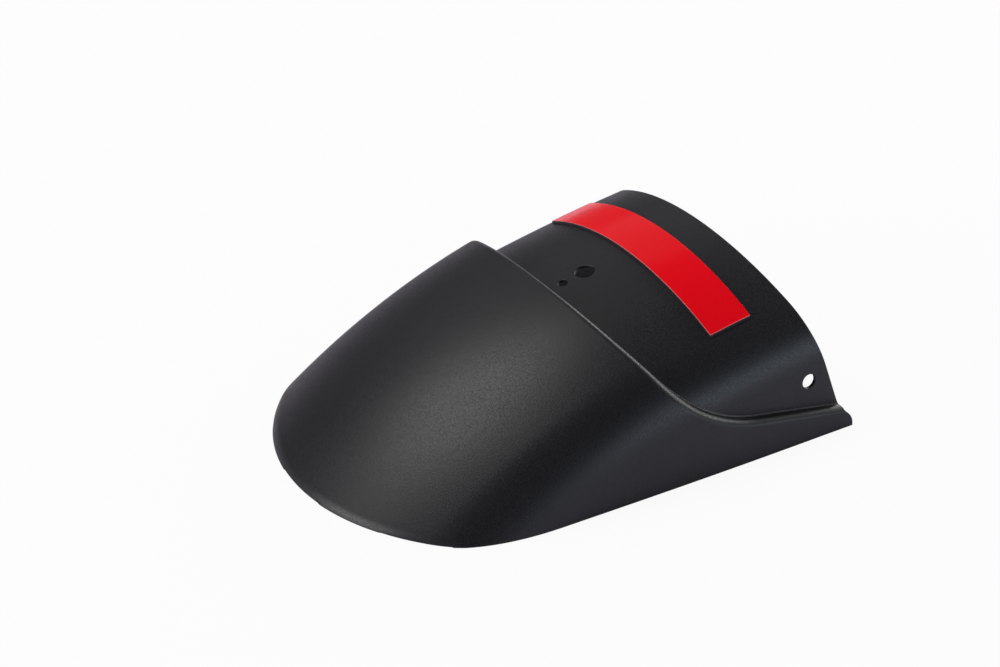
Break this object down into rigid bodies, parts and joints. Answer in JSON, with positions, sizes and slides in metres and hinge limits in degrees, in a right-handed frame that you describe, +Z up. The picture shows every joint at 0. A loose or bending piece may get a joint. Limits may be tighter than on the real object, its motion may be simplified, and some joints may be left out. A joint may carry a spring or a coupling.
{
  "type": "motorcycle mudguard extender",
  "caption": "Moulded arch that lengthens a motorcycle mudguard: a smooth cover, and a stepped-down tongue with screw holes and a lined foam tape strip that tucks under the guard.",
  "frame": {"origin": "on the base plane that the rim rests on, under the middle of the part", "axes": "+X across the wheel, +Y along the guard from the nose to the rear edge of the tongue, +Z up"},
  "size_m": [0.154, 0.2055, 0.0645],
  "materials": {
    "shell_plastic": "satin black, with the fine grain of the mould",
    "tape_foam": "matte closed-cell foam",
    "liner_film": "glossy red film"
  },
  "bodies": {
    "root": {"extender_shell": "shell_plastic", "adhesive_tape": "tape_foam", "release_liner": "liner_film"}
  },
  "joints": []
}
